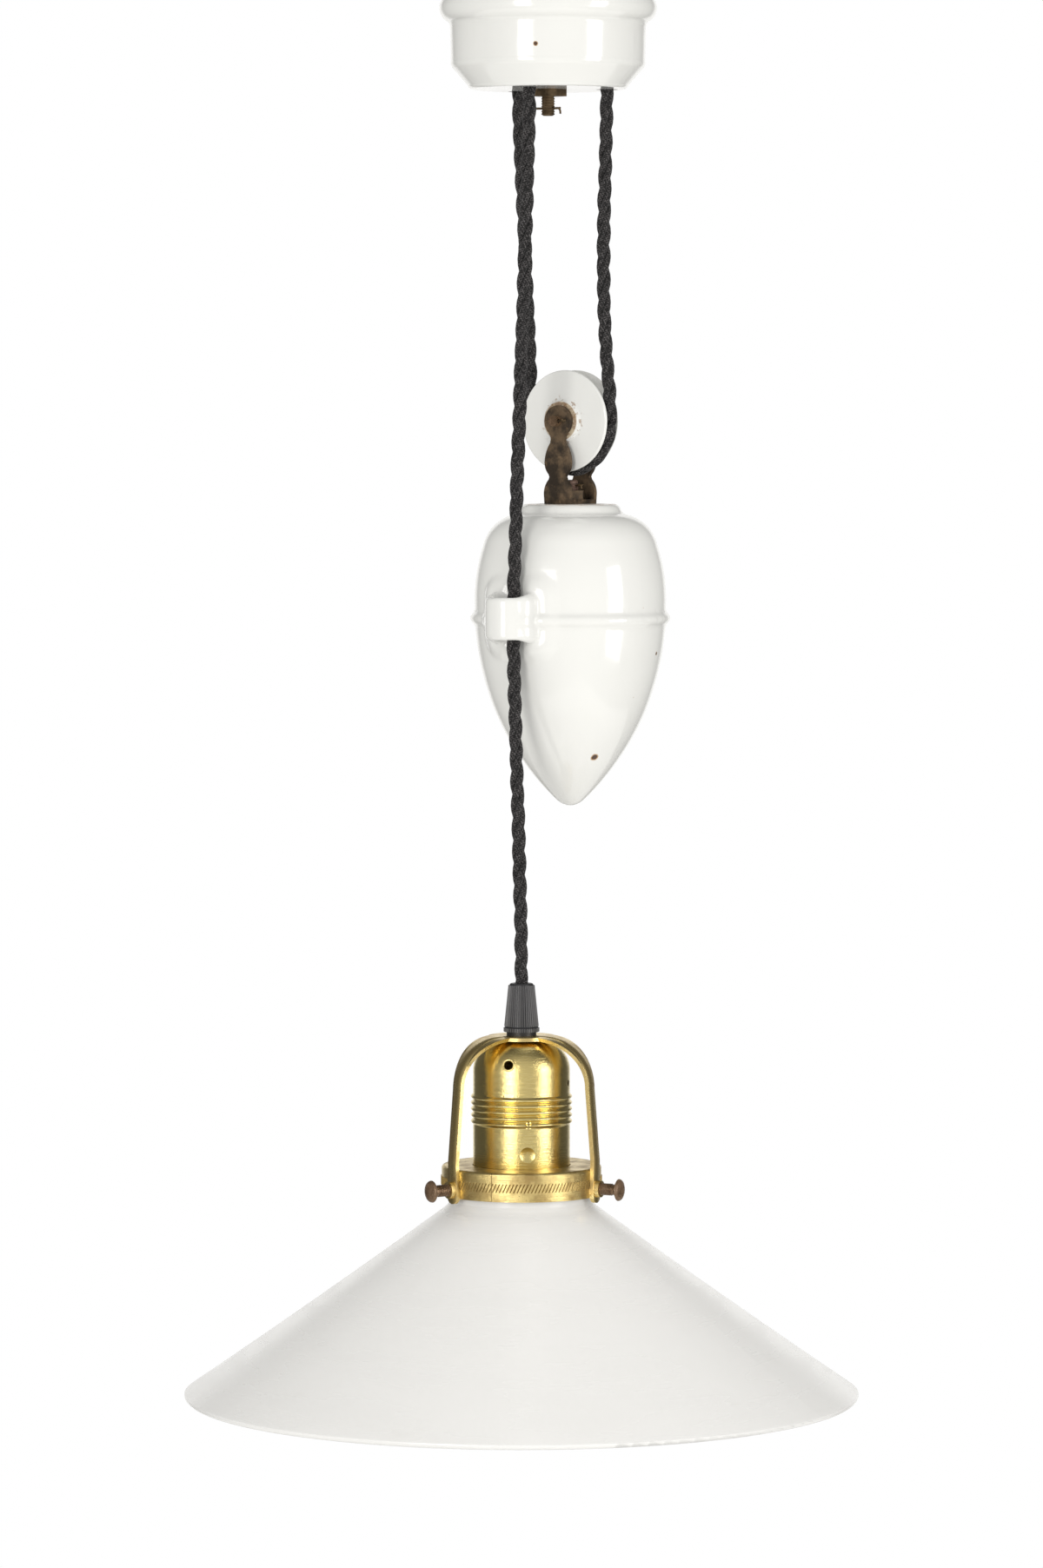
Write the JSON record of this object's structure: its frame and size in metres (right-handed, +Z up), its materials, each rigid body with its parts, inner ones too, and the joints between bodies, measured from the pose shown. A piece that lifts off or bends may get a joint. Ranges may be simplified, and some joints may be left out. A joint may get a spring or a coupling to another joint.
{
  "type": "rise and fall pendant",
  "caption": "Rise and fall pendant: porcelain ceiling cup, twisted flex over a pulley with an egg-shaped counterweight, and a brass gallery with a glass coolie shade.",
  "frame": {"origin": "centre of the ceiling cup on the ceiling plane", "axes": "+Z up out of the ceiling; the lamp hangs towards -Y and the counterweight towards +Y; +X to the right of the lamp seen from -Y"},
  "size_m": [0.2672, 0.2672, 0.5541],
  "materials": {
    "white_porcelain": "gloss",
    "plain_porcelain": "satin",
    "rusty_iron": "matte",
    "shot": "matte",
    "polished_brass": "polished",
    "aged_brass": "satin",
    "bronzed_steel": "satin",
    "fibre": "matte",
    "grey_plastic": "satin",
    "black_cotton": "matte",
    "opal_glass": "satin"
  },
  "bodies": {
    "ceiling_fitting": {"ceiling_plate": "rusty_iron", "ceiling_stud": "rusty_iron", "plate_nut": "rusty_iron", "ceiling_cup": "white_porcelain", "cup_nut": "rusty_iron", "cup_split_pin": "rusty_iron", "roller_frame": "rusty_iron", "roller_pins": "rusty_iron", "frame_nut": "rusty_iron", "terminal_block": "plain_porcelain", "terminal_screws": "polished_brass", "cord_cleat": "fibre", "flex_fixed_tail": "black_cotton", "flex_over_rollers": "black_cotton", "flex_fixed_run": "black_cotton", "flex_return_run": "black_cotton", "flex_lamp_run": "black_cotton"},
    "return_roller_body": {"return_roller": "plain_porcelain"},
    "lamp_roller_body": {"lamp_roller": "plain_porcelain"},
    "counterweight": {"weight_shell": "white_porcelain", "weight_fill": "shot", "weight_plug": "plain_porcelain", "weight_stem": "rusty_iron", "stem_nut": "rusty_iron", "stem_split_pin": "rusty_iron", "yoke": "rusty_iron", "pulley_axle": "rusty_iron", "axle_split_pin": "rusty_iron", "flex_round_pulley": "black_cotton"},
    "pulley": {"pulley_wheel": "white_porcelain"},
    "lamp": {"cord_grip": "grey_plastic", "entry_nipple": "aged_brass", "flex_lamp_tail": "black_cotton", "lock_nut": "aged_brass", "gallery_bracket": "aged_brass", "gallery_ring": "aged_brass", "lampholder_cap": "polished_brass", "lampholder_shell": "polished_brass", "lampholder_insert": "plain_porcelain", "screw_shell": "polished_brass", "centre_contact": "polished_brass", "shade": "opal_glass"},
    "gallery_screw_body_1": {"gallery_screw_1": "bronzed_steel"},
    "gallery_screw_body_2": {"gallery_screw_2": "bronzed_steel"},
    "gallery_screw_body_3": {"gallery_screw_3": "bronzed_steel"}
  },
  "joints": [
    {"name": "lamp_drop", "type": "slide", "parent": "ceiling_fitting", "child": "lamp", "axis": [0, 0, -1], "range_m": [-0.06, 0.2], "deforming": ["flex_lamp_run"]},
    {"name": "weight_rise", "type": "slide", "parent": "ceiling_fitting", "child": "counterweight", "axis": [0, 0, 1], "range_m": [-0.0305, 0.1005], "deforming": ["flex_fixed_run", "flex_return_run"]},
    {"name": "pulley_spin", "type": "hinge", "parent": "counterweight", "child": "pulley", "pos_m": [0, 0.018, -0.1678], "axis": [0.0872, 0.9962, 0], "range_deg": [-91, 301]},
    {"name": "return_roller_spin", "type": "hinge", "parent": "ceiling_fitting", "child": "return_roller_body", "pos_m": [-0.01401, 0.00342, -0.016], "axis": [0.802, 0.5973, 0], "range_deg": [-376, 1250]},
    {"name": "lamp_roller_spin", "type": "hinge", "parent": "ceiling_fitting", "child": "lamp_roller_body", "pos_m": [-0.004, -0.01002, -0.016], "axis": [0.802, 0.5973, 0], "range_deg": [-376, 1250]},
    {"name": "gallery_screw_1_out", "type": "slide", "parent": "lamp", "child": "gallery_screw_body_1", "axis": [-0.4384, -0.8988, 0], "range_m": [0, 0.006]},
    {"name": "gallery_screw_2_out", "type": "slide", "parent": "lamp", "child": "gallery_screw_body_2", "axis": [0.9976, 0.0698, 0], "range_m": [0, 0.006]},
    {"name": "gallery_screw_3_out", "type": "slide", "parent": "lamp", "child": "gallery_screw_body_3", "axis": [-0.5592, 0.829, 0], "range_m": [0, 0.006]}
  ],
  "couplings": [
    {"joint": "weight_rise", "follows": "lamp_drop", "ratio": 0.5},
    {"joint": "pulley_spin", "follows": "lamp_drop", "rad_per_m": 26.042},
    {"joint": "return_roller_spin", "follows": "lamp_drop", "rad_per_m": 108.7},
    {"joint": "lamp_roller_spin", "follows": "lamp_drop", "rad_per_m": 108.7}
  ]
}
